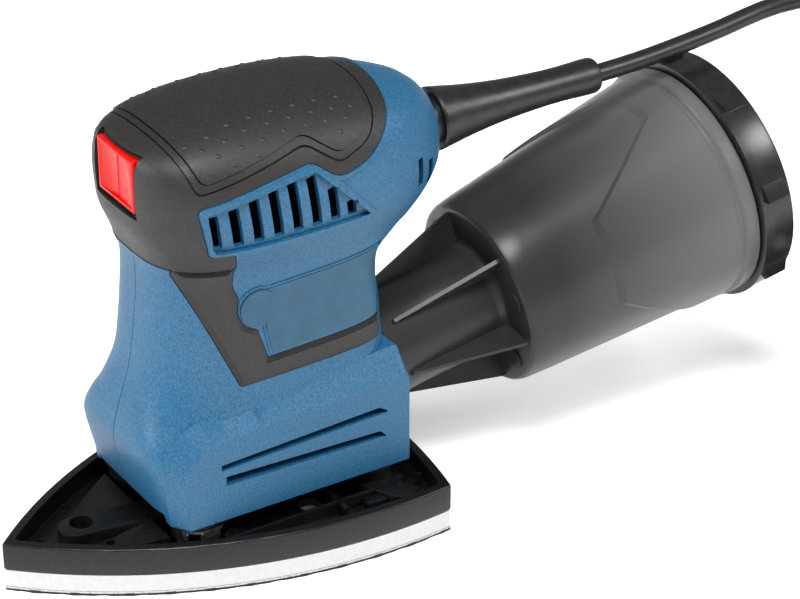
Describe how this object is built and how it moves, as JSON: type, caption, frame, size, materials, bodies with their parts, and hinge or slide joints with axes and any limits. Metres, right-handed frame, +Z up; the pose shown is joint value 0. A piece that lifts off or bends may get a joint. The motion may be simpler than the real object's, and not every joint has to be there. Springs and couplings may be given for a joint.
{
  "type": "detail sander",
  "caption": "Hand-held detail sander: pointed delta sanding plate, upright motor housing with soft grips and rocker switch, pull-off microfilter dust box and mains lead.",
  "frame": {"origin": "on the sanding face, where the motor shaft axis meets it", "axes": "+Z up along the motor shaft, +Y towards the rear, where the dust box and the cord are, and +X towards the machine's left side; the pointed tip faces -Y"},
  "size_m": [0.1652, 0.4128, 0.1585],
  "materials": {
    "blue_plastic": "moulded, satin",
    "soft_grip": "matt, soft",
    "red_plastic": "glossy",
    "black_plastic": "moulded, fine grain",
    "grey_plastic": "moulded",
    "smoke_plastic": "smoke grey, see-through",
    "cord_rubber": "satin",
    "pad_foam": "closed-cell foam",
    "abrasive": "grit on cloth backing",
    "steel": "turned and stamped",
    "copper": "enamelled wire and bars",
    "carbon": "dull",
    "filter_paper": "pleated"
  },
  "bodies": {
    "machine": {"lower_bearing": "steel", "upper_bearing": "steel", "field_core": "steel", "field_winding_lower": "copper", "field_winding_upper": "copper", "bearing_bracket": "steel", "upper_bearing_seat": "black_plastic", "brush_holder_left": "copper", "brush_holder_right": "copper", "carbon_brush_left": "carbon", "carbon_brush_right": "carbon", "dust_duct": "black_plastic", "duct_seal": "cord_rubber", "front_grip": "soft_grip", "palm_grip": "soft_grip", "left_trim": "soft_grip", "right_trim": "soft_grip", "switch_bezel": "black_plastic", "switch_body": "black_plastic", "left_housing": "blue_plastic", "right_housing": "blue_plastic", "housing_screw_1": "steel", "housing_screw_2": "steel", "housing_screw_3": "steel", "housing_screw_4": "steel", "housing_screw_5": "steel", "elastic_foot_left_front": "grey_plastic", "elastic_foot_left_rear": "grey_plastic", "elastic_foot_right_front": "grey_plastic", "elastic_foot_right_rear": "grey_plastic", "cord_sleeve": "cord_rubber", "cord_stub": "cord_rubber", "cord_clamp": "grey_plastic", "terminal_block": "grey_plastic", "suppressor_capacitor": "carbon", "mains_cord": "cord_rubber", "cord_coil": "cord_rubber", "cord_tail": "cord_rubber", "mains_plug": "cord_rubber"},
    "rotor": {"motor_shaft": "steel", "eccentric_counterweight": "steel", "dust_fan": "grey_plastic", "cooling_fan": "black_plastic", "armature_core": "steel", "armature_winding_lower": "copper", "armature_winding_upper": "copper", "commutator": "copper"},
    "plate": {"sanding_sheet": "abrasive", "foam_pad": "pad_foam", "plate_frame": "black_plastic", "plate_screw_1": "steel", "plate_screw_2": "steel", "plate_screw_3": "steel", "plate_screw_4": "steel", "orbit_bearing": "steel"},
    "switch": {"switch_rocker": "red_plastic"},
    "dust_box": {"dust_container": "smoke_plastic"},
    "filter": {"filter_frame": "grey_plastic", "pleated_filter": "filter_paper"},
    "cap": {"box_cap": "black_plastic"}
  },
  "joints": [
    {"name": "rotor_spin", "type": "hinge", "parent": "machine", "child": "rotor", "pos_m": [0, 0, 0.09], "axis": [0, 0, 1], "continuous": true},
    {"name": "plate_orbit", "type": "hinge", "parent": "rotor", "child": "plate", "pos_m": [0, 0.0008, 0.0226], "axis": [0, 0, 1], "continuous": true},
    {"name": "switch_rock", "type": "hinge", "parent": "machine", "child": "switch", "pos_m": [0, -0.0425, 0.14], "axis": [0, 0, 1], "range_deg": [-5, 5]},
    {"name": "dust_box_pull", "type": "slide", "parent": "machine", "child": "dust_box", "axis": [0, 0.9836, 0.1805], "range_m": [0, 0.035]},
    {"name": "filter_pull", "type": "slide", "parent": "dust_box", "child": "filter", "axis": [0, 0.9836, 0.1805], "range_m": [0, 0.06]},
    {"name": "cap_turn", "type": "hinge", "parent": "filter", "child": "cap", "pos_m": [0, 0.09068, 0.06073], "axis": [0, 0.9836, 0.1805], "range_deg": [0, 35]}
  ],
  "couplings": [
    {"joint": "plate_orbit", "follows": "rotor_spin", "ratio": -1}
  ]
}
